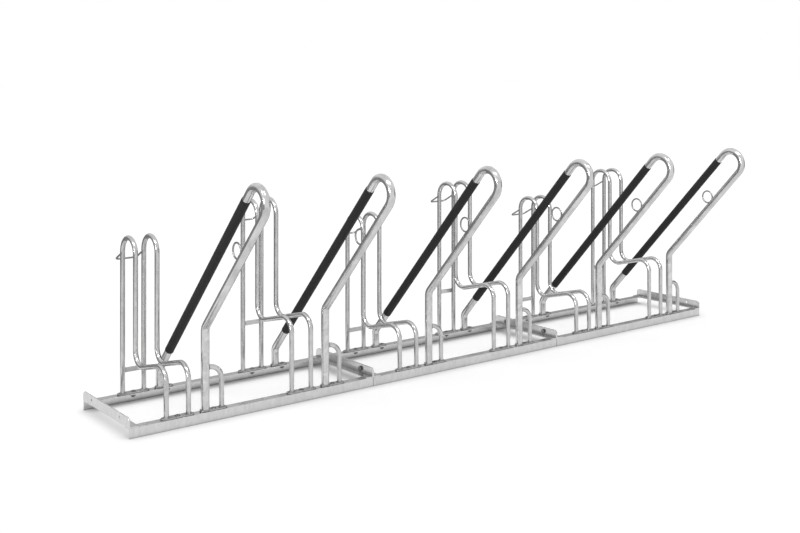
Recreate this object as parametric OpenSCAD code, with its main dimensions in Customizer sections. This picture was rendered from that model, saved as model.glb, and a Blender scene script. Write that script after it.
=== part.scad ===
// Floor bike rack for six bicycles, bolted together from three base modules.
// Each parking place has a pair of bent wheel bars, a leaning bar with a soft sleeve and a lock
// ring, and a small hoop beside it. Every second wheel holder stands higher than its neighbours.
//
// Drawing frame: X runs along the rack from its left end, Y runs from the front edge of the base
// to the rear, and Z is the height above the top of the rails. in_frame() moves all of it so that
// the origin lies under the middle of the rack, on the floor.

/* [Rack] */
// Length of one base module, which carries two parking places
module_length = 1000; // [900:10:1200]
// Depth of the base over the outer faces of both rails
base_depth = 395; // [380:5:440]
// Height by which every second wheel holder stands above the others
height_step = 100; // [60:5:140]

/* [Rails] */
// Leg of the rail's angle section
rail_size = 35; // [32:1:45]
// Wall of the rail's angle section
rail_wall = 4; // [3:0.5:5]
// Gap between the ends of two rails in line
rail_joint_gap = 2; // [0.5:0.5:3]

/* [Cross members] */
// Leg of the cross member's angle section
cross_size = 35; // [32:1:45]
// Wall of the cross member's angle section
cross_wall = 4; // [3:0.5:5]
// Radius of the upper corners of the upright leg
cross_corner_r = 15; // [8:1:20]
// Distance between the two joint bolts
joint_spacing = 240; // [200:10:280]
// Height of the joint bolts above the rails
joint_height = 19; // [17:0.5:20]
// Diameter of the floor anchor holes
anchor_hole_d = 13; // [10:0.5:14]
// Distance of the anchor holes from the end of the module
anchor_inset = 20; // [16:1:24]
// Distance of the anchor holes from the base's front and rear edge
anchor_setback = 55; // [45:1:70]

/* [Wheel bars] */
// Diameter of the wheel bars
wheel_bar_d = 18; // [14:1:20]
// Place of the left wheel bar, from the start of the parking place
wheel_bar_start = 142; // [134:1:148]
// Distance between the axes of the two wheel bars
wheel_bar_spacing = 83; // [76:1:90]
// Height of the front corner of a low wheel bar, on its axis
seat_corner_z = 182; // [170:1:200]
// Angle at which the seat of the bar falls toward the rear
seat_fall = 14; // [8:1:16]
// Distance between the two legs of the bar's loop
loop_spacing = 112.5; // [100:2.5:125]
// Height of the centre of a low bar's top turn
loop_centre_z = 522.5; // [450:2.5:560]
// Centre-line radius of the two lower bends
wheel_bend_r = 50; // [35:1:55]

/* [Wheel rests] */
// Height of the flat strip that the tyre meets
rest_height = 17; // [12:1:24]
// Thickness of the strip
rest_thickness = 6; // [4:0.5:8]
// Height of the middle of a low strip
rest_z = 88; // [70:1:100]

/* [Wheel stops] */
// Diameter of the stop's wire
stop_wire_d = 7; // [5:0.5:9]
// Reach of the stop behind the wheel bars
stop_reach = 65; // [45:1:80]
// Drop of the stop over that reach
stop_drop = 35; // [15:1:45]
// Centre-line radius of the stop's corners
stop_corner_r = 15; // [8:1:25]
// Height of a low stop at the bars
stop_z = 520; // [440:1:530]

/* [Lean bars] */
// Outer diameter of the leaning bar
lean_bar_d = 30; // [26:1:32]
// Wall of its tube
lean_bar_wall = 2.5; // [1.5:0.5:4]
// Place of the leaning bar, from the start of the parking place
lean_bar_start = 289; // [279:1:299]
// Angle of the leaning part above the horizontal
lean_angle = 46.95; // [44:0.05:52]
// Height of the lower straight's corner above the front rail, on its axis
lean_corner_z = 290; // [280:1:320]
// Distance from that corner to the top turn
lean_length = 580; // [480:1:620]
// Distance between the lower and the upper straight
lean_spacing = 112.5; // [100:2.5:120]
// Centre-line radius of the two lower bends
lean_bend_r = 36; // [30:1:60]

/* [Sleeves] */
// Wall of the soft sleeve
sleeve_wall = 1.5; // [1:0.1:3]
// Length of the sleeve
sleeve_length = 828; // [600:1:850]
// Bare tube between the sleeve and the top turn
sleeve_top_gap = 41; // [20:1:70]
// Clearance between the sleeve and its tube
sleeve_clearance = 0.2; // [0.1:0.05:0.4]

/* [Lock rings] */
// Diameter of the ring's wire
ring_wire_d = 6.5; // [5:0.5:8]
// Centre-line radius of the ring
ring_r = 27; // [22:0.5:30]
// How far the ring's centre-line dips into the tube that it is welded to
ring_sink = 3.5; // [1:0.5:6]
// Distance of the ring from the corner along the lower straight
ring_along = 370; // [250:1:450]

/* [Hoops] */
// Diameter of the hoop's bar
hoop_d = 18; // [14:1:20]
// Distance of the hoop's leg from the axis of the leaning bar
hoop_reach = 64; // [58:1:75]
// Centre-line radius of the hoop's bend
hoop_bend_r = 48; // [35:1:49]
// Height of the hoop's upper end, on its axis
hoop_z = 151; // [130:1:200]

/* [Foot plates] */
// Thickness of the plates under the bars
plate_thickness = 5; // [3:0.5:6]
// Width of the plates
plate_width = 28; // [26:1:30]
// Distance from a bar's axis to the rounded end of its plate
plate_overhang = 20; // [16:1:24]

/* [Fasteners] */
// Diameter of the bolts
bolt_d = 10; // [8:1:12]
// How much wider than its bolt a hole is
bolt_hole_clearance = 1; // [0.5:0.5:2]
// Diameter of the domed heads on the foot plates
dome_d = 20; // [18:1:24]
// Height of the domed heads
dome_height = 5; // [3:0.5:6]
// Width of nuts and hexagon heads across their flats
nut_flats = 17; // [15:1:19]
// Height of the nuts
nut_height = 8; // [6:0.5:9]
// Height of the hexagon heads
head_height = 6.4; // [5:0.1:8]
// Length of thread that shows past a nut
thread_end = 4; // [2:0.5:6]
// Clearance of a nut round its thread
thread_clearance = 0.15; // [0.1:0.05:0.3]

/* [Hidden] */
// Counts
module_count = 3;
places_per_module = 2;
place_count = module_count * places_per_module;
// Gap between a bar and what is welded to its round side
weld_gap = 0.2;
// Ridge where a straight meets a bend: both end inside it, and it stands out too little to be seen
seam_ridge = 0.05;
seam_depth = 0.45;
// Share of the arc inside the tube by which the ring is left open there
ring_open_share = 0.8;
// Overrun of all cuts and bores
overrun = 2;
// Finish of round faces and of hexagons
$fn = 48;
hexagon = 6;
// Colours
zinc = [0.74, 0.75, 0.76];
dark_zinc = [0.62, 0.63, 0.65];
black = [0.16, 0.16, 0.17];

rack_length = module_count * module_length;
place_pitch = module_length / places_per_module;
// Lines in the middle of the rails, on which all bars stand
front_y = rail_size / 2;
rear_y = base_depth - rail_size / 2;
wheel_left_x = wheel_bar_start;
wheel_right_x = wheel_bar_start + wheel_bar_spacing;
hoop_x = lean_bar_start + hoop_reach;
// Foot bolts stand in the middle of their plates
wheel_bolt_x = (wheel_left_x + wheel_right_x) / 2;
lean_bolt_x = (lean_bar_start + hoop_x) / 2;
foot_bolt_xs = [wheel_bolt_x, lean_bolt_x];
joint_ys = [(base_depth - joint_spacing) / 2, (base_depth + joint_spacing) / 2];
anchor_ys = [anchor_setback, base_depth - anchor_setback];

// Wheel bar in the side plane, as points of Y and Z
loop_y = rear_y - loop_spacing;
seat_rear_z = seat_corner_z - (loop_y - front_y) * tan(seat_fall);

// Leaning bar in the side plane: the way up along it and the way across it
up = [-cos(lean_angle), sin(lean_angle)];
across = [sin(lean_angle), cos(lean_angle)];
lean_front = [front_y, lean_corner_z];
lean_rear = [rear_y, lean_corner_z + (lean_spacing - (rear_y - front_y) * across.x) / across.y];
turn_low = lean_front + up * lean_length;
turn_high = turn_low + across * lean_spacing;
turn_centre = (turn_low + turn_high) / 2;
sleeve_top = turn_high - up * sleeve_top_gap;
sleeve_foot = sleeve_top - up * sleeve_length;
sleeve_bore_d = lean_bar_d + 2 * sleeve_clearance;
sleeve_d = sleeve_bore_d + 2 * sleeve_wall;
ring_seat = lean_front + up * ring_along;
ring_centre = ring_seat + across * (lean_bar_d / 2 + ring_r - ring_sink);
ring_open = ring_open_share * acos((ring_r - ring_sink) / ring_r);

// Stop in its own sloping plane
stop_slope = atan2(stop_drop, stop_reach);
stop_run = norm([stop_reach, stop_drop]);

bolt_hole_d = bolt_d + bolt_hole_clearance;
nut_bore_d = bolt_d + 2 * thread_clearance;
nut_d = nut_flats / cos(180 / hexagon);
dome_r = (dome_d * dome_d / 4 + dome_height * dome_height) / (2 * dome_height);

// Reach of the whole rack from front to rear, for the middle of its footprint
front_end = turn_centre.x - lean_spacing / 2 - lean_bar_d / 2;
rear_end = rear_y + stop_reach + stop_wire_d / 2;
middle_y = (front_end + rear_end) / 2;

modules = [1:module_count];
places = [1:place_count];

// Helpers for places and directions

function module_x(i) = (i - 1) * module_length;
function place_x(i) = (i - 1) * place_pitch;
function rise(i) = (i + 1) % 2 * height_step;
function unit(v) = v / norm(v);
function heading(v) = atan2(v.y, v.x);
// Turn from direction a to direction b, positive to the left
function turn(a, b) = atan2(a.x * b.y - a.y * b.x, a * b);
// Length of straight that a bend of radius r takes away on each side of its corner
function setback(a, corner, b, r) = r * tan(abs(turn(corner - a, b - corner)) / 2);

// Moves the drawing frame to the origin under the middle of the rack
module in_frame() {
    translate([-rack_length / 2, -middle_y, rail_size]) children();
}

// Stands a flat drawing of Y and Z upright at one place along the rack
module side_plane(x) {
    translate([x, 0, 0]) rotate([90, 0, 90]) children();
}

// Straight round bar from point a to point b of the drawing plane
module straight(a, b, d) {
    translate([a.x, a.y, 0]) rotate([0, 0, heading(b - a)]) rotate([0, 90, 0]) {
        cylinder(h = norm(b - a), d = d);
    }
}

// Ridge round a bar of diameter d at a point of its line, made of two cones base to base
module seam(at, way, d) {
    height = seam_ridge + seam_depth;
    translate([at.x, at.y, 0]) rotate([0, 0, heading(way)]) rotate([0, 90, 0]) {
        for (side = [0, 1]) mirror([0, 0, side]) {
            cylinder(h = height, d1 = d + 2 * seam_ridge, d2 = d - 2 * seam_depth);
        }
    }
}

// Round bar bent about centre c, from one heading seen from the centre through an angle
module bend(c, r, start, sweep, d) {
    translate([c.x, c.y, 0]) rotate([0, 0, start]) {
        rotate_extrude(angle = sweep) translate([r, 0]) circle(d = d);
    }
}

// Bend that rounds the corner of the line from a over corner to b
module corner_bend(a, corner, b, r, d) {
    sweep = turn(corner - a, b - corner);
    back = setback(a, corner, b, r);
    side = sign(sweep) * [-unit(corner - a).y, unit(corner - a).x];
    centre = corner - unit(corner - a) * back + side * r;
    start = heading(-side) + min(sweep, 0);
    bend(centre, r, start, abs(sweep), d);
    seam(corner - unit(corner - a) * back, corner - a, d);
    seam(corner + unit(b - corner) * back, b - corner, d);
}

// Half-round turn from the end of one straight to the end of the other, both running the same way
module top_turn(low, high, way, d) {
    bend((low + high) / 2, norm(high - low) / 2, heading(high - low), 180, d);
    seam(low, way, d);
    seam(high, way, d);
}

// Bar that rises on the front rail, bends at corner a, runs to the turn and back over corner b
module hairpin(foot_z, a, low, high, b, r, d) {
    foot_a = [a.x, foot_z];
    foot_b = [b.x, foot_z];
    back_a = setback(foot_a, a, low, r);
    straight(foot_a, a - [0, back_a], d);
    corner_bend(foot_a, a, low, r, d);
    straight(a + unit(low - a) * back_a, low, d);
    top_turn(low, high, low - a, d);
    back_b = setback(foot_b, b, high, r);
    straight(b + unit(high - b) * back_b, high, d);
    corner_bend(foot_b, b, high, r, d);
    straight(foot_b, b - [0, back_b], d);
}

// Angle section with its corner at the origin, its legs along X and Y
module angle_section(size, wall) {
    square([size, wall]);
    square([wall, size]);
}

// Upright round bar that is cut away from what is welded to it
module weld_cut(x, y, d, height) {
    translate([x, y, -overrun]) cylinder(h = height + 2 * overrun, d = d + 2 * weld_gap);
}

// Base

module foot_holes() {
    for (k = [0:places_per_module - 1], x = foot_bolt_xs) {
        translate([k * place_pitch + x, 0, -rail_wall - overrun]) {
            cylinder(h = rail_wall + 2 * overrun, d = bolt_hole_d);
        }
    }
}

module rail(i) {
    length = module_length - rail_joint_gap;
    translate([module_x(i), 0, 0]) difference() {
        translate([rail_joint_gap / 2, 0, 0]) rotate([90, 0, 90]) {
            linear_extrude(height = length) mirror([0, 1]) angle_section(rail_size, rail_wall);
        }
        translate([0, front_y, 0]) foot_holes();
    }
}

module front_rail(i) {
    color(zinc) in_frame() rail(i);
}

module rear_rail(i) {
    color(zinc) in_frame() translate([0, base_depth, 0]) mirror([0, 1, 0]) rail(i);
}

// Upright leg of a cross member, seen from its end, with rounded upper corners
module cross_flange() {
    square([base_depth, cross_size - cross_corner_r]);
    translate([cross_corner_r, 0]) square([base_depth - 2 * cross_corner_r, cross_size]);
    for (y = [cross_corner_r, base_depth - cross_corner_r]) {
        translate([y, cross_size - cross_corner_r]) circle(r = cross_corner_r);
    }
}

// Cross member with its upright leg at X = 0 and its flat leg toward +X
module cross_member() {
    difference() {
        union() {
            rotate([90, 0, 90]) linear_extrude(height = cross_wall) cross_flange();
            cube([cross_size, base_depth, cross_wall]);
        }
        for (y = joint_ys) {
            translate([-overrun, y, joint_height]) rotate([0, 90, 0]) {
                cylinder(h = cross_wall + 2 * overrun, d = bolt_hole_d);
            }
        }
        for (y = anchor_ys) {
            translate([anchor_inset, y, -overrun]) {
                cylinder(h = cross_wall + 2 * overrun, d = anchor_hole_d);
            }
        }
    }
}

module cross_left(i) {
    color(zinc) in_frame() translate([module_x(i), 0, 0]) cross_member();
}

module cross_right(i) {
    color(zinc) in_frame() translate([module_x(i + 1), 0, 0]) mirror([1, 0, 0]) cross_member();
}

// Wheel holders

module wheel_bar(i, x) {
    front = [front_y, seat_corner_z + rise(i)];
    rear = [loop_y, seat_rear_z + rise(i)];
    top_front = [loop_y, loop_centre_z + rise(i)];
    top_rear = [rear_y, loop_centre_z + rise(i)];
    foot_front = [front_y, plate_thickness];
    foot_rear = [rear_y, plate_thickness];
    back_front = setback(foot_front, front, rear, wheel_bend_r);
    back_rear = setback(front, rear, top_front, wheel_bend_r);
    fall = unit(rear - front);
    color(zinc) in_frame() side_plane(place_x(i) + x) {
        straight(foot_front, front - [0, back_front], wheel_bar_d);
        corner_bend(foot_front, front, rear, wheel_bend_r, wheel_bar_d);
        straight(front + fall * back_front, rear - fall * back_rear, wheel_bar_d);
        corner_bend(front, rear, top_front, wheel_bend_r, wheel_bar_d);
        straight(rear + [0, back_rear], top_front, wheel_bar_d);
        top_turn(top_front, top_rear, top_front - rear, wheel_bar_d);
        straight(foot_rear, top_rear, wheel_bar_d);
    }
}

module wheel_bar_left(i) {
    wheel_bar(i, wheel_left_x);
}

module wheel_bar_right(i) {
    wheel_bar(i, wheel_right_x);
}

module wheel_rests() {
    color(zinc) in_frame() for (i = places) translate([place_x(i), 0, 0]) difference() {
        translate([wheel_left_x, rear_y - rest_thickness / 2, rest_z + rise(i) - rest_height / 2]) {
            cube([wheel_bar_spacing, rest_thickness, rest_height]);
        }
        for (x = [wheel_left_x, wheel_right_x]) {
            weld_cut(x, rear_y, wheel_bar_d, loop_centre_z);
        }
    }
}

module wheel_stop(i) {
    left_end = [0, 0];
    left_corner = [0, stop_run];
    right_corner = [wheel_bar_spacing, stop_run];
    right_end = [wheel_bar_spacing, 0];
    color(zinc) in_frame() translate([place_x(i), 0, 0]) difference() {
        translate([wheel_left_x, rear_y, stop_z + rise(i)]) rotate([-stop_slope, 0, 0]) {
            straight(left_end, left_corner - [0, stop_corner_r], stop_wire_d);
            corner_bend(left_end, left_corner, right_corner, stop_corner_r, stop_wire_d);
            straight(left_corner + [stop_corner_r, 0], right_corner - [stop_corner_r, 0], stop_wire_d);
            corner_bend(left_corner, right_corner, right_end, stop_corner_r, stop_wire_d);
            straight(right_corner - [0, stop_corner_r], right_end, stop_wire_d);
        }
        for (x = [wheel_left_x, wheel_right_x]) {
            weld_cut(x, rear_y, wheel_bar_d, stop_z + height_step + stop_reach);
        }
    }
}

// Leaning bars and what they carry

module lean_line(d, foot_z) {
    hairpin(foot_z, lean_front, turn_low, turn_high, lean_rear, lean_bend_r, d);
}

module lean_bar(i) {
    color(zinc) in_frame() side_plane(place_x(i) + lean_bar_start) difference() {
        lean_line(lean_bar_d, plate_thickness);
        lean_line(lean_bar_d - 2 * lean_bar_wall, plate_thickness - overrun);
    }
}

module lean_sleeve(i) {
    color(black) in_frame() side_plane(place_x(i) + lean_bar_start) difference() {
        straight(sleeve_foot, sleeve_top, sleeve_d);
        straight(sleeve_foot - up * overrun, sleeve_top + up * overrun, sleeve_bore_d);
    }
}

module lock_ring(i) {
    color(zinc) in_frame() side_plane(place_x(i) + lean_bar_start) difference() {
        translate([ring_centre.x, ring_centre.y, 0]) {
            rotate([0, 0, heading(-across) + ring_open]) {
                rotate_extrude(angle = 360 - 2 * ring_open) translate([ring_r, 0]) circle(d = ring_wire_d);
            }
        }
        straight(lean_front, turn_low, lean_bar_d + 2 * weld_gap);
    }
}

module hoop(i) {
    foot = [hoop_x, plate_thickness];
    corner = [hoop_x, hoop_z];
    end = [lean_bar_start, hoop_z];
    color(zinc) in_frame() translate([place_x(i), 0, 0]) difference() {
        translate([0, front_y, 0]) rotate([90, 0, 0]) {
            straight(foot, corner - [0, hoop_bend_r], hoop_d);
            corner_bend(foot, corner, end, hoop_bend_r, hoop_d);
            straight(corner - [hoop_bend_r, 0], end, hoop_d);
        }
        weld_cut(lean_bar_start, front_y, lean_bar_d, lean_corner_z);
    }
}

// Feet and fasteners

// Plate with rounded ends from one place along the rack to another, with a bolt hole
module foot_plate(from, to, bolt_x) {
    end_r = plate_width / 2;
    linear_extrude(height = plate_thickness) difference() {
        union() {
            translate([from + end_r, -end_r]) square([to - from - plate_width, plate_width]);
            for (x = [from + end_r, to - end_r]) translate([x, 0]) circle(r = end_r);
        }
        translate([bolt_x, 0]) circle(d = bolt_hole_d);
    }
}

// The front plate at the leaning bar also carries the hoop, the rear one ends past its bolt
module foot_plates() {
    lean_from = lean_bar_start - plate_overhang;
    color(zinc) in_frame() for (i = places) translate([place_x(i), 0, 0]) {
        for (y = [front_y, rear_y]) translate([0, y, 0]) {
            foot_plate(wheel_left_x - plate_overhang, wheel_right_x + plate_overhang, wheel_bolt_x);
        }
        translate([0, front_y, 0]) foot_plate(lean_from, hoop_x + plate_overhang, lean_bolt_x);
        translate([0, rear_y, 0]) foot_plate(lean_from, lean_bolt_x + plate_overhang, lean_bolt_x);
    }
}

// Puts its children at every foot bolt, on the rail's upper face
module at_foot_bolts() {
    for (i = places, x = foot_bolt_xs, y = [front_y, rear_y]) {
        translate([place_x(i) + x, y, 0]) children();
    }
}

module foot_bolts() {
    color(dark_zinc) in_frame() at_foot_bolts() {
        shank = plate_thickness + rail_wall + nut_height + thread_end;
        translate([0, 0, plate_thickness - shank]) cylinder(h = shank, d = bolt_d);
        translate([0, 0, plate_thickness]) intersection() {
            translate([0, 0, dome_height - dome_r]) sphere(r = dome_r);
            cylinder(h = dome_height + overrun, d = dome_d + overrun);
        }
    }
}

// Hexagon nut that lies on the XY plane and reaches up
module nut() {
    difference() {
        cylinder(h = nut_height, d = nut_d, $fn = hexagon);
        translate([0, 0, -overrun]) cylinder(h = nut_height + 2 * overrun, d = nut_bore_d);
    }
}

module foot_nuts() {
    color(dark_zinc) in_frame() at_foot_bolts() translate([0, 0, -rail_wall - nut_height]) nut();
}

// Puts its children at every joint bolt, with their Z axis along the rack
module at_joint_bolts() {
    for (i = [1:module_count - 1], y = joint_ys) {
        translate([module_x(i + 1), y, joint_height]) rotate([0, 90, 0]) children();
    }
}

module joint_bolts() {
    color(dark_zinc) in_frame() at_joint_bolts() {
        translate([0, 0, -cross_wall - head_height]) cylinder(h = head_height, d = nut_d, $fn = hexagon);
        translate([0, 0, -cross_wall]) cylinder(h = 2 * cross_wall + nut_height + thread_end, d = bolt_d);
    }
}

module joint_nuts() {
    color(dark_zinc) in_frame() at_joint_bolts() translate([0, 0, cross_wall]) nut();
}

for (i = modules) {
    front_rail(i);
    rear_rail(i);
    cross_left(i);
    cross_right(i);
}
for (i = places) {
    wheel_bar_left(i);
    wheel_bar_right(i);
    lean_bar(i);
    lean_sleeve(i);
    lock_ring(i);
    hoop(i);
    wheel_stop(i);
}
wheel_rests();
foot_plates();
foot_bolts();
foot_nuts();
joint_bolts();
joint_nuts();
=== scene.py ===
import math
import random

import bpy
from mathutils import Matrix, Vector


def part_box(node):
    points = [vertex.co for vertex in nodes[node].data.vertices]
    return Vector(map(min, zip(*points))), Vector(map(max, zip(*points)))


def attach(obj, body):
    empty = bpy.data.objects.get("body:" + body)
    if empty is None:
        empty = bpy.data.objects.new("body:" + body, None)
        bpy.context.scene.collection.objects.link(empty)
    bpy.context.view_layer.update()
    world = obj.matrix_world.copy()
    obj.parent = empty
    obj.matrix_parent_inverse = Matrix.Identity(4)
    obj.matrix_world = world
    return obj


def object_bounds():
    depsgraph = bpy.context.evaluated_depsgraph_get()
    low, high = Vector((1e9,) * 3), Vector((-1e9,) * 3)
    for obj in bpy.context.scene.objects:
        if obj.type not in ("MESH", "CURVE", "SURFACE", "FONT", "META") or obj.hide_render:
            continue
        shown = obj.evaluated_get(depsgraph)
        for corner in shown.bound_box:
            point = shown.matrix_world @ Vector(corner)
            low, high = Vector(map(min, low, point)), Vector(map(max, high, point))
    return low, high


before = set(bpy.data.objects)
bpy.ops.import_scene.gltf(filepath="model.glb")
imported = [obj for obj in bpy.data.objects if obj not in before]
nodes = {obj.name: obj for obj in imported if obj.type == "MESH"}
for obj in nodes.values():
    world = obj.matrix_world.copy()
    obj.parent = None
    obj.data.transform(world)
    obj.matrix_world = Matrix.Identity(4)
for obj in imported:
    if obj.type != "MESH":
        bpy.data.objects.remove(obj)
cad_low, cad_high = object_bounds()

MM = 0.001
X_AXIS = Vector((1, 0, 0))
Y_AXIS = Vector((0, 1, 0))
Z_AXIS = Vector((0, 0, 1))
PLACES = range(1, 7)
MODULES = range(1, 4)

# The photograph's camera, worked out from the rails and the repeated bars
PHOTO_WIDTH = 800
PHOTO_HEIGHT = 533
HORIZON_ROW = 66.3
CAMERA_LENS = 50.0
CAMERA_SENSOR = 36.0
CAMERA_YAW = 0.6557
CAMERA_PLACE = (-3.0288, -3.4749, 1.2334)
CAMERA_SIGHT = 100

# Radius of the weld beads
FOOT_BEAD = 2.2 * MM
CROSS_BEAD = FOOT_BEAD * 0.9
SMALL_BEAD = 1.3 * MM
HOOP_BEAD = SMALL_BEAD * 1.3
# How far the middle of a foot's bead lies outside the bar
FOOT_BEAD_OFFSET = FOOT_BEAD / 3
# Share of the rail's width that a cross member's bead leaves free at each end
CROSS_BEAD_INSET_SHARE = 0.12
# Ripples of a bead, their depth and unevenness as shares of its radius, and its thin ends
RIPPLE_PITCH = 2.4 * MM
RIPPLE_DEPTH = 0.14
RIPPLE_WOBBLE = 0.06
BEAD_END_SHARE = 0.45
# Sides of a bead, the distance between its rings, and the steps of the curves that beads follow
BEAD_SIDES = 8
BEAD_STEP = 1.8 * MM
RING_STEPS = 48
SADDLE_STEPS = 40
STOP_SADDLE_STEPS = 20
LEAST_STEPS = 3
# Sine of the angle to the upright below which a bead takes its sides from another axis
UPRIGHT_LIMIT = 0.1

# Rounding of sheet edges
EDGE_ROUNDING = 0.7 * MM
EDGE_SEGMENTS = 2
EDGE_ANGLE = math.radians(50)
MERGE_DISTANCE = 0.01 * MM

# Sizes that the frame's boxes don't give by themselves
REST_HEIGHT = 17 * MM
STOP_WIRE = 7 * MM

# Slope of the leaning bars above the floor
LEAN_ANGLE = math.radians(46.95)

# Zinc: sizes of its clouds, ripples and grain, and how cells and grain mix into them
CLOUD_SCALE = 34.0
RIPPLE_SCALE = 55.0
GRAIN_SCALE = 500.0
CELL_SHARE = 0.3
GRAIN_SHARE = 0.03
ZINC_RELIEF = 1.0 * MM
# Places on the tone's scale of the darkest and the lightest zinc
DARK_PLACE = 0.25
LIGHT_PLACE = 0.7
# Painted shade in creases and beside nearby parts: how near its neighbour must be, and how dark it gets
CREASE_REACH = 12 * MM
RAIL_CREASE_REACH = 7 * MM
CREASE_LEVEL = 0.32
CREASE_PLACE = 0.1
OPEN_PLACE = 0.95

# Sleeve: darkest and lightest tone, their places on its mottled scale, roughness and skin
SLEEVE_DARK = (0.009, 0.009, 0.010, 1.0)
SLEEVE_LIGHT = (0.014, 0.014, 0.015, 1.0)
SLEEVE_DARK_PLACE = 0.3
SLEEVE_LIGHT_PLACE = 0.7
SLEEVE_ROUGH = (0.58, 0.72)
SLEEVE_SPECULAR = 0.35
MOTTLE_SCALE = 30.0
SKIN_SCALE = 900.0
SKIN_RELIEF = 0.15 * MM
SKIN_STRENGTH = 0.3

# Studio: strength of the world as a light, and how much of its own white the floor shows
WORLD_LIGHT = 0.8
FLOOR_GLOW = 1.5
FLOOR_GLOW_SHARE = 0.36
FLOOR_DARK = 0.86
FLOOR_LIGHT = 0.87
FLOOR_SHADE_SCALE = 0.8
FLOOR_ROUGH = 0.9
FLOOR_REACH = 60
# How far the floor's painted contact shadow reaches, and how deep it is
CONTACT_REACH = 55 * MM
CONTACT_POWER = 1.1
OPENNESS_SAMPLES = 8
# Grey screens that only reflections show: their glow, distance from the rack's middle and steps
CARD_GLOW = 0.3
UPPER_CARD_GLOW = 0.62
CARD_RADIUS = 4.2
UPPER_CARD_RADIUS = 4.6
CARD_STEPS = 24
RUG_HALF_LENGTH = 5.0
RUG_FRONT = 0.75
LAMP_HEIGHT = 3


# Node trees

def new_material(name):
    """A material with an empty tree, its output and a Principled shader on it."""
    material = bpy.data.materials.new(name)
    material.use_nodes = True
    tree = material.node_tree
    tree.nodes.clear()
    output = tree.nodes.new("ShaderNodeOutputMaterial")
    shader = tree.nodes.new("ShaderNodeBsdfPrincipled")
    tree.links.new(shader.outputs["BSDF"], output.inputs["Surface"])
    return material, tree, shader


def add(tree, kind, **values):
    """A node with its settings, and its inputs where a setting names an input."""
    node = tree.nodes.new(kind)
    for name, value in values.items():
        if name in node.inputs:
            node.inputs[name].default_value = value
        else:
            setattr(node, name, value)
    return node


def noise(tree, coords, scale, detail, rough):
    """A noise value over the given coordinates."""
    node = add(tree, "ShaderNodeTexNoise", Scale=scale, Detail=detail, Roughness=rough)
    tree.links.new(coords, node.inputs["Vector"])
    return node.outputs["Fac"]


def ramp(tree, value, start, end):
    """A colour ramp between two (place, colour) stops."""
    node = tree.nodes.new("ShaderNodeValToRGB")
    for element, (place, colour) in zip(node.color_ramp.elements, (start, end)):
        element.position = place
        element.color = colour
    tree.links.new(value, node.inputs["Fac"])
    return node.outputs["Color"]


def grey(level):
    """A grey colour."""
    return (level, level, level, 1.0)


def map_range(tree, value, low, high):
    """Spreads a value of 0 to 1 between low and high."""
    node = tree.nodes.new("ShaderNodeMapRange")
    node.inputs["To Min"].default_value = low
    node.inputs["To Max"].default_value = high
    tree.links.new(value, node.inputs["Value"])
    return node.outputs["Result"]


def mix_colour(tree, share, a, b, mode="MIX"):
    """Mixes two colours, by a fixed share of the second."""
    node = tree.nodes.new("ShaderNodeMix")
    node.data_type = "RGBA"
    node.blend_type = mode
    sockets = {socket.name: socket for socket in node.inputs if socket.enabled}
    sockets["Factor"].default_value = share
    tree.links.new(a, sockets["A"])
    tree.links.new(b, sockets["B"])
    return next(socket for socket in node.outputs if socket.enabled)


def bump(tree, shader, height, distance, strength):
    """Feeds a height to the shader's normal."""
    node = add(tree, "ShaderNodeBump", Distance=distance, Strength=strength)
    tree.links.new(height, node.inputs["Height"])
    tree.links.new(node.outputs["Normal"], shader.inputs["Normal"])


def stretched(tree, along, share):
    """Object coordinates drawn out along a tilt about X, so that marks on them lie along the bar."""
    coords = tree.nodes.new("ShaderNodeTexCoord").outputs["Object"]
    turned = add(tree, "ShaderNodeMapping", Rotation=(along, 0, 0))
    tree.links.new(coords, turned.inputs["Vector"])
    drawn = add(tree, "ShaderNodeMapping", Scale=(1, 1, share))
    tree.links.new(turned.outputs["Vector"], drawn.inputs["Vector"])
    return drawn.outputs["Vector"]


def crystals(tree, coords, scale):
    """Zinc crystals: one grey value for each cell."""
    cells = add(tree, "ShaderNodeTexVoronoi", Scale=scale, Randomness=1.0)
    tree.links.new(coords, cells.inputs["Vector"])
    value = tree.nodes.new("ShaderNodeRGBToBW")
    tree.links.new(cells.outputs["Color"], value.inputs["Color"])
    return value.outputs["Val"]


def openness(tree, reach):
    """1 on open surfaces, falling toward 0 in corners and beside what stands nearer than reach."""
    node = add(tree, "ShaderNodeAmbientOcclusion", Distance=reach, samples=OPENNESS_SAMPLES)
    return node.outputs["AO"]


# Materials

def galvanised(name, light, dark, rough, cell_scale, tilt=0.0, stretch=0.5, waves=0.3, reach=CREASE_REACH):
    """Hot-dip zinc: soft crystal patches, cloudy tone, painted shade in creases and a slightly wavy skin.
    """
    material, tree, shader = new_material(name)
    coords = stretched(tree, tilt, stretch)
    cells = crystals(tree, coords, cell_scale)
    clouds = noise(tree, coords, CLOUD_SCALE, detail=5.0, rough=0.6)
    ripples = noise(tree, coords, RIPPLE_SCALE, detail=2.0, rough=0.5)
    grain = noise(tree, coords, GRAIN_SCALE, detail=3.0, rough=0.5)
    tone = mix_colour(tree, CELL_SHARE, clouds, cells)
    zinc = ramp(tree, tone, (DARK_PLACE, grey(dark)), (LIGHT_PLACE, grey(light)))
    # Painted shade: ambient occlusion darkens the base colour in creases, beside nearby parts and near the
    # floor.
    painted_crease_shade = ramp(tree, openness(tree, reach), (CREASE_PLACE, grey(CREASE_LEVEL)), (OPEN_PLACE, grey(1.0)))
    tree.links.new(mix_colour(tree, 1.0, zinc, painted_crease_shade, "MULTIPLY"), shader.inputs["Base Color"])
    tree.links.new(map_range(tree, clouds, rough[0], rough[1]), shader.inputs["Roughness"])
    shader.inputs["Metallic"].default_value = 1.0
    bump(tree, shader, mix_colour(tree, GRAIN_SHARE, ripples, grain), ZINC_RELIEF, waves)
    return material


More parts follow.
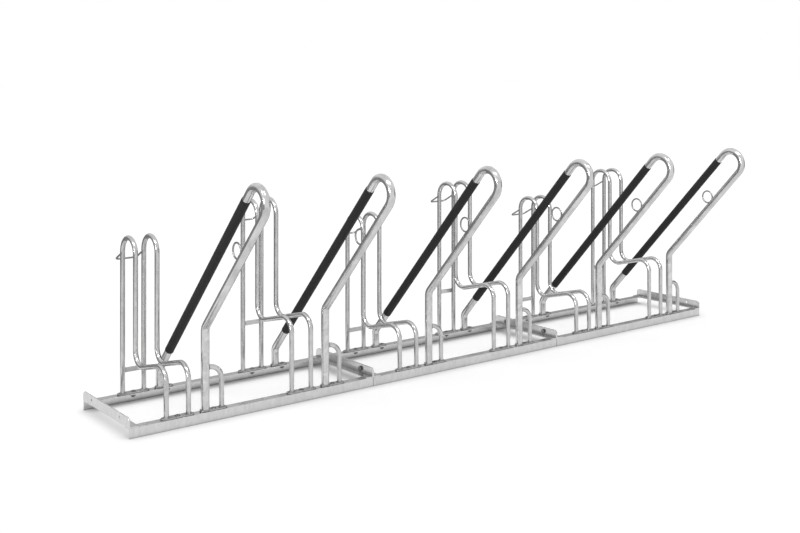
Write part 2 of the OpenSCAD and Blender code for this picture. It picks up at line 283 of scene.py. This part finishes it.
def soft_sleeve(name):
    """Matte black plastic with a fine skin."""
    material, tree, shader = new_material(name)
    coords = tree.nodes.new("ShaderNodeTexCoord").outputs["Object"]
    mottle = noise(tree, coords, MOTTLE_SCALE, detail=3.0, rough=0.5)
    skin = noise(tree, coords, SKIN_SCALE, detail=2.0, rough=0.6)
    colour = ramp(tree, mottle, (SLEEVE_DARK_PLACE, SLEEVE_DARK), (SLEEVE_LIGHT_PLACE, SLEEVE_LIGHT))
    tree.links.new(colour, shader.inputs["Base Color"])
    tree.links.new(map_range(tree, mottle, *SLEEVE_ROUGH), shader.inputs["Roughness"])
    shader.inputs["Specular IOR Level"].default_value = SLEEVE_SPECULAR
    bump(tree, shader, skin, SKIN_RELIEF, SKIN_STRENGTH)
    return material


def seen_directly(tree):
    """1 for the rays of the camera, of reflections and of glass, and 0 for those that only bring light."""
    path = tree.nodes.new("ShaderNodeLightPath")
    value = path.outputs["Is Camera Ray"]
    for name in ("Is Glossy Ray", "Is Transmission Ray"):
        larger = add(tree, "ShaderNodeMath", operation="MAXIMUM")
        tree.links.new(value, larger.inputs[0])
        tree.links.new(path.outputs[name], larger.inputs[1])
        value = larger.outputs["Value"]
    return value


def scaled(tree, value, operation, number):
    """A value times a number, or to its power."""
    node = add(tree, "ShaderNodeMath", operation=operation)
    tree.links.new(value, node.inputs[0])
    node.inputs[1].default_value = number
    return node.outputs["Value"]


def studio_floor(name):
    """White floor that keeps the rack's shadow, softened where it is looked at, with a painted contact
    shadow in its glow.
    """
    material, tree, shader = new_material(name)
    coords = tree.nodes.new("ShaderNodeTexCoord").outputs["Object"]
    shade = noise(tree, coords, FLOOR_SHADE_SCALE, detail=2.0, rough=0.5)
    colour = ramp(tree, shade, (0.0, grey(FLOOR_DARK)), (1.0, grey(FLOOR_LIGHT)))
    tree.links.new(colour, shader.inputs["Base Color"])
    shader.inputs["Roughness"].default_value = FLOOR_ROUGH
    shader.inputs["Specular IOR Level"].default_value = 0.0
    glow = add(tree, "ShaderNodeEmission", Strength=FLOOR_GLOW)
    # Painted contact shadow: the floor's glow darkens beside the rack by ambient occlusion.
    painted_contact_shadow = scaled(tree, openness(tree, CONTACT_REACH), "POWER", CONTACT_POWER)
    tree.links.new(painted_contact_shadow, glow.inputs["Color"])
    mix = tree.nodes.new("ShaderNodeMixShader")
    share = scaled(tree, seen_directly(tree), "MULTIPLY", FLOOR_GLOW_SHARE)
    tree.links.new(share, mix.inputs["Fac"])
    tree.links.new(shader.outputs["BSDF"], mix.inputs[1])
    tree.links.new(glow.outputs["Emission"], mix.inputs[2])
    output = next(node for node in tree.nodes if node.type == "OUTPUT_MATERIAL")
    tree.links.new(mix.outputs["Shader"], output.inputs["Surface"])
    return material


def screen_grey(name, level):
    """Grey screen of an even glow."""
    material, _, shader = new_material(name)
    shader.inputs["Base Color"].default_value = grey(0.0)
    shader.inputs["Specular IOR Level"].default_value = 0.0
    shader.inputs["Emission Color"].default_value = grey(1.0)
    shader.inputs["Emission Strength"].default_value = level
    return material


# Meshes

def mesh_object(name, verts, faces, material, smooth=True):
    """A new mesh object with its material."""
    mesh = bpy.data.meshes.new(name)
    mesh.from_pydata(verts, [], faces)
    mesh.update()
    for polygon in mesh.polygons:
        polygon.use_smooth = smooth
    piece = bpy.data.objects.new(name, mesh)
    bpy.context.scene.collection.objects.link(piece)
    piece.data.materials.append(material)
    return piece


def resample(points, closed, step):
    """Points a steady step apart along a line of points."""
    line = list(points) + ([points[0]] if closed else [])
    lengths = [(b - a).length for a, b in zip(line, line[1:])]
    total = sum(lengths)
    count = max(LEAST_STEPS, round(total / step))
    out = []
    piece, start = 0, 0.0
    for k in range(count if closed else count + 1):
        along = total * k / count
        while piece < len(lengths) - 1 and along > start + lengths[piece]:
            start += lengths[piece]
            piece += 1
        share = (along - start) / lengths[piece]
        out.append(line[piece].lerp(line[piece + 1], min(share, 1.0)))
    return out


def bead_ring(point, way, size):
    """The corners of a bead round a point, square to the way that it runs."""
    side = way.cross(Z_AXIS)
    if side.length < UPRIGHT_LIMIT:
        side = way.cross(Y_AXIS)
    side.normalize()
    lift = side.cross(way)
    turns = [math.tau * j / BEAD_SIDES for j in range(BEAD_SIDES)]
    return [point + (side * math.cos(turn) + lift * math.sin(turn)) * size for turn in turns]


def bead_faces(count, closed):
    """The faces between the rings of a bead, with ends where it is open."""
    faces = []
    for k in range(count if closed else count - 1):
        a = k * BEAD_SIDES
        b = ((k + 1) % count) * BEAD_SIDES
        for j in range(BEAD_SIDES):
            n = (j + 1) % BEAD_SIDES
            faces.append((a + j, a + n, b + n, b + j))
    if not closed:
        faces.append(tuple(range(BEAD_SIDES - 1, -1, -1)))
        faces.append(tuple((count - 1) * BEAD_SIDES + j for j in range(BEAD_SIDES)))
    return faces


def bead(points, radius, closed, chance):
    """Vertices and faces of a rippled weld bead along a line of points."""
    line = resample(points, closed, BEAD_STEP)
    count = len(line)
    phase = chance.uniform(0, math.tau)
    verts = []
    for k, point in enumerate(line):
        ahead = line[(k + 1) % count] if closed or k + 1 < count else point
        behind = line[k - 1] if closed or k > 0 else point
        ripple = math.sin(math.tau * k * BEAD_STEP / RIPPLE_PITCH + phase)
        wobble = chance.uniform(-RIPPLE_WOBBLE, RIPPLE_WOBBLE)
        size = radius * (1 + RIPPLE_DEPTH * ripple + wobble)
        if not closed and k in (0, count - 1):
            size *= BEAD_END_SHARE
        verts += bead_ring(point, (ahead - behind).normalized(), size)
    return verts, bead_faces(count, closed)


def welds(name, runs, material):
    """One piece made of several beads, each (points, radius, closed)."""
    chance = random.Random(name)
    verts, faces = [], []
    for points, radius, closed in runs:
        more, quads = bead(points, radius, closed, chance)
        faces += [tuple(i + len(verts) for i in q) for q in quads]
        verts += more
    piece = mesh_object(name, verts, faces, material)
    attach(piece, "root")


def foot_ring(x, y, z, r):
    """The bead round the foot of an upright bar of radius r."""
    centre = Vector((x, y, z))
    turns = [math.tau * k / RING_STEPS for k in range(RING_STEPS)]
    reach = r + FOOT_BEAD_OFFSET
    points = [centre + (X_AXIS * math.cos(t) + Y_AXIS * math.sin(t)) * reach for t in turns]
    return points, FOOT_BEAD, True


def saddle_points(tube, tube_r, across, way, r, count):
    """The line where a bar of radius r, running along way, meets an upright tube of radius tube_r."""
    points = []
    for k in range(count):
        turn = math.tau * k / count
        off = r * math.cos(turn)
        out = math.sqrt(max(tube_r * tube_r - off * off, 0))
        points.append(tube + across * off + way * out + Z_AXIS * (r * math.sin(turn)))
    return points


# Weld beads of the rack, with places from the frame's boxes

def bar_facts(node):
    """Place along the rack, radius, lowest and highest corner of a bar that lies in a side plane."""
    low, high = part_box(node)
    return (low.x + high.x) / 2, (high.x - low.x) / 2, low, high


def foot_runs(i):
    """Beads round the feet of one parking place's bars, on their plates."""
    runs = []
    for side in ("left", "right"):
        x, r, low, high = bar_facts(f"wheel_bar_{side}_{i}")
        front_y = low.y + r
        runs.append(foot_ring(x, front_y, low.z, r))
        runs.append(foot_ring(x, high.y - r, low.z, r))
    x, r, low, high = bar_facts(f"lean_bar_{i}")
    runs.append(foot_ring(x, front_y, low.z, r))
    runs.append(foot_ring(x, high.y - r, low.z, r))
    low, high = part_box(f"hoop_{i}")
    r = (high.y - low.y) / 2
    runs.append(foot_ring(high.x - r, (low.y + high.y) / 2, low.z, r))
    return runs


def hoop_runs(i):
    """The bead round the hoop's upper end, on the leaning bar's leg."""
    x, tube_r, _, _ = bar_facts(f"lean_bar_{i}")
    low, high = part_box(f"hoop_{i}")
    r = (high.y - low.y) / 2
    tube = Vector((x, (low.y + high.y) / 2, high.z - r))
    return [(saddle_points(tube, tube_r, Y_AXIS, X_AXIS, r, SADDLE_STEPS), HOOP_BEAD, True)]


def rest_runs(i):
    """Upright beads at both ends of the strip between the rear legs."""
    runs = []
    low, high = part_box("wheel_rests")
    half = (high.y - low.y) / 2
    first_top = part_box("wheel_bar_left_1")[1].z
    _, bar_r, _, bar_high = bar_facts(f"wheel_bar_left_{i}")
    strip_high = low.z + REST_HEIGHT + (bar_high.z - first_top)
    out = math.sqrt(bar_r * bar_r - half * half)
    for side, sign in (("left", 1), ("right", -1)):
        x = bar_facts(f"wheel_bar_{side}_{i}")[0] + sign * out
        for y in (low.y, high.y):
            foot = Vector((x, y, strip_high - REST_HEIGHT))
            runs.append(([foot, foot + Z_AXIS * REST_HEIGHT], SMALL_BEAD, False))
    return runs


def stop_runs(i):
    """Beads where the wire stop meets the rear legs."""
    runs = []
    _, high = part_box(f"wheel_stop_{i}")
    r = STOP_WIRE / 2
    for side in ("left", "right"):
        x, bar_r, _, bar_high = bar_facts(f"wheel_bar_{side}_{i}")
        tube = Vector((x, bar_high.y - bar_r, high.z - r))
        runs.append((saddle_points(tube, bar_r, X_AXIS, Y_AXIS, r, STOP_SADDLE_STEPS), SMALL_BEAD, True))
    return runs


def cross_runs(i):
    """Beads along the inner edge of the cross members' flat legs, on both rails."""
    runs = []
    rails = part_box(f"front_rail_{i}"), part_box(f"rear_rail_{i}")
    top = rails[0][1].z
    for side, inner in (("left", 1), ("right", 0)):
        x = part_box(f"cross_{side}_{i}")[inner].x
        for rail_low, rail_high in rails:
            inset = (rail_high.y - rail_low.y) * CROSS_BEAD_INSET_SHARE
            start = Vector((x, rail_low.y + inset, top))
            end = Vector((x, rail_high.y - inset, top))
            runs.append(([start, end], CROSS_BEAD, False))
    return runs


# Dressing

def by_place(*bases):
    """The names of nodes that every parking place has."""
    return [f"{base}_{i}" for base in bases for i in PLACES]


def by_module(*bases):
    """The names of nodes that every base module has."""
    return [f"{base}_{i}" for base in bases for i in MODULES]


def dress_cad(material, names):
    """Gives nodes a material."""
    for name in names:
        slots = nodes[name].data.materials
        slots.clear()
        slots.append(material)


def round_edges(names):
    """Rounds the sharp edges of sheet metal, which keeps its outer size."""
    for name in names:
        node = nodes[name]
        merge = node.modifiers.new("merge", "WELD")
        merge.merge_threshold = MERGE_DISTANCE
        rounding = node.modifiers.new("rounding", "BEVEL")
        rounding.width = EDGE_ROUNDING
        rounding.segments = EDGE_SEGMENTS
        rounding.limit_method = "ANGLE"
        rounding.angle_limit = EDGE_ANGLE
        rounding.harden_normals = True


# Studio

def make_camera():
    """The camera that took the photograph, level and with its frame moved down from the horizon."""
    data = bpy.data.cameras.new("photo_camera")
    data.lens = CAMERA_LENS
    data.sensor_width = CAMERA_SENSOR
    data.shift_y = (HORIZON_ROW - PHOTO_HEIGHT / 2) / PHOTO_WIDTH
    data.clip_end = CAMERA_SIGHT
    camera = bpy.data.objects.new("photo_camera", data)
    bpy.context.scene.collection.objects.link(camera)
    camera.location = CAMERA_PLACE
    camera.rotation_euler = (math.pi / 2, 0, -CAMERA_YAW)
    bpy.context.scene.camera = camera


def flat_corners(low, high, z):
    """The corners of a level rectangle."""
    return [(low[0], low[1], z), (high[0], low[1], z), (high[0], high[1], z), (low[0], high[1], z)]


def make_floor():
    """A wide pale floor under the rack."""
    corners = flat_corners((-FLOOR_REACH, -FLOOR_REACH), (FLOOR_REACH, FLOOR_REACH), 0)
    floor = mesh_object("studio_floor", corners, [(0, 1, 2, 3)], studio_floor("studio_floor"), smooth=False)
    floor.location.z = cad_low.z


def sun_lamp(name, toward, angle, strength):
    """An even, soft lamp that shines along a direction."""
    data = bpy.data.lights.new(name, "SUN")
    data.angle = math.radians(angle)
    data.energy = strength
    lamp = bpy.data.objects.new(name, data)
    bpy.context.scene.collection.objects.link(lamp)
    lamp.location = (0, 0, LAMP_HEIGHT)
    lamp.rotation_mode = "QUATERNION"
    lamp.rotation_quaternion = Vector(toward).to_track_quat("-Z", "Y")
    return lamp


def gleam_lamp(name, toward, angle, strength):
    """A lamp that only reflections show."""
    sun_lamp(name, toward, angle, strength).visible_diffuse = False


def reflected_only(card):
    """Makes a screen part of the studio that nothing but reflections show."""
    card.visible_camera = False
    card.visible_diffuse = False
    card.visible_transmission = False
    card.visible_shadow = False


def make_card(name, start, end, height, radius=CARD_RADIUS, glow=CARD_GLOW):
    """A curved grey screen round the rack that only reflections show, from one compass angle to another."""
    verts = []
    for k in range(CARD_STEPS + 1):
        angle = math.radians(start + (end - start) * k / CARD_STEPS)
        for z in (0.0, height):
            verts.append((radius * math.cos(angle), radius * math.sin(angle), cad_low.z + z))
    faces = [(2 * k, 2 * k + 2, 2 * k + 3, 2 * k + 1) for k in range(CARD_STEPS)]
    reflected_only(mesh_object(name, verts, faces, screen_grey(name, glow)))


def make_rug(name, low, high):
    """A flat grey screen just above the floor, from one corner to another, that only reflections show."""
    verts = flat_corners(low, high, cad_low.z + MM)
    reflected_only(mesh_object(name, verts, [(0, 1, 2, 3)], screen_grey(name, CARD_GLOW)))


def make_world():
    """White studio all round, a little dimmer as a light than as a background."""
    world = bpy.data.worlds.new("studio")
    bpy.context.scene.world = world
    world.use_nodes = True
    tree = world.node_tree
    tree.nodes.clear()
    output = tree.nodes.new("ShaderNodeOutputWorld")
    background = tree.nodes.new("ShaderNodeBackground")
    background.inputs["Color"].default_value = grey(1.0)
    strength = map_range(tree, seen_directly(tree), WORLD_LIGHT, 1.0)
    tree.links.new(strength, background.inputs["Strength"])
    tree.links.new(background.outputs["Background"], output.inputs["Surface"])


rail_steel = galvanised(
    "rail_zinc", light=0.65, dark=0.56, rough=(0.22, 0.3), cell_scale=110.0,
    waves=0.15, reach=RAIL_CREASE_REACH)
bar_steel = galvanised("bar_zinc", light=0.60, dark=0.44, rough=(0.14, 0.24), cell_scale=120.0, waves=0.16)
wire_steel = galvanised("wire_zinc", light=0.36, dark=0.28, rough=(0.25, 0.35), cell_scale=160.0)
tube_steel = galvanised(
    "tube_zinc", light=0.67, dark=0.45, rough=(0.12, 0.22), cell_scale=80.0,
    tilt=LEAN_ANGLE - math.pi / 2, stretch=0.35, waves=0.07)
# Painted shade: the weld beads' zinc is dark to paint the shade beside the bar feet.
weld_steel_painted_shade = galvanised("weld_zinc", light=0.34, dark=0.24, rough=(0.25, 0.35), cell_scale=200.0)
# Painted shade: the fasteners' zinc is dark to paint the shade under the flanges and the dark reflections
# on the bolt heads.
fastener_steel_painted_shade = galvanised("fastener_zinc", light=0.20, dark=0.12, rough=(0.12, 0.22), cell_scale=160.0)
# Painted shade: the foot plates' zinc is darker than the rails' to paint the shade round the bar feet.
plate_steel_painted_shade = galvanised("plate_zinc", light=0.46, dark=0.34, rough=(0.2, 0.3), cell_scale=110.0, waves=0.2)
sleeve_skin = soft_sleeve("sleeve")

base_angles = by_module("front_rail", "rear_rail", "cross_left", "cross_right")
dress_cad(rail_steel, base_angles + ["wheel_rests"])
dress_cad(plate_steel_painted_shade, ["foot_plates"])
dress_cad(bar_steel, by_place("wheel_bar_left", "wheel_bar_right", "hoop"))
dress_cad(wire_steel, by_place("lock_ring", "wheel_stop"))
dress_cad(tube_steel, by_place("lean_bar"))
dress_cad(fastener_steel_painted_shade, ["foot_bolts", "foot_nuts", "joint_bolts", "joint_nuts"])
dress_cad(sleeve_skin, by_place("lean_sleeve"))
round_edges(base_angles + ["foot_plates", "wheel_rests"])

for place in PLACES:
    welds(f"welds_feet_{place}", foot_runs(place), weld_steel_painted_shade)
    welds(f"welds_upper_{place}", hoop_runs(place) + rest_runs(place) + stop_runs(place), weld_steel_painted_shade)
for module in MODULES:
    welds(f"welds_base_{module}", cross_runs(module), weld_steel_painted_shade)

make_camera()
make_floor()
make_world()
make_card("rear_card", start=20, end=160, height=1.1)
make_card("upper_card", start=20, end=160, height=2.2, radius=UPPER_CARD_RADIUS, glow=UPPER_CARD_GLOW)
make_card("left_card", start=165, end=205, height=1.4)
make_card("right_card", start=-40, end=15, height=1.6)
make_rug("rear_rug", (-RUG_HALF_LENGTH, RUG_FRONT), (RUG_HALF_LENGTH, CARD_RADIUS))
sun_lamp("key", toward=(1.0, 0.15, -1.1), angle=16, strength=0.5)
gleam_lamp("gleam", toward=(0.9, 0.25, -0.2), angle=10, strength=1.5)
gleam_lamp("top_gleam", toward=(0.1, 0.5, -1.0), angle=10, strength=1.0)

bpy.context.scene.view_settings.view_transform = "Standard"
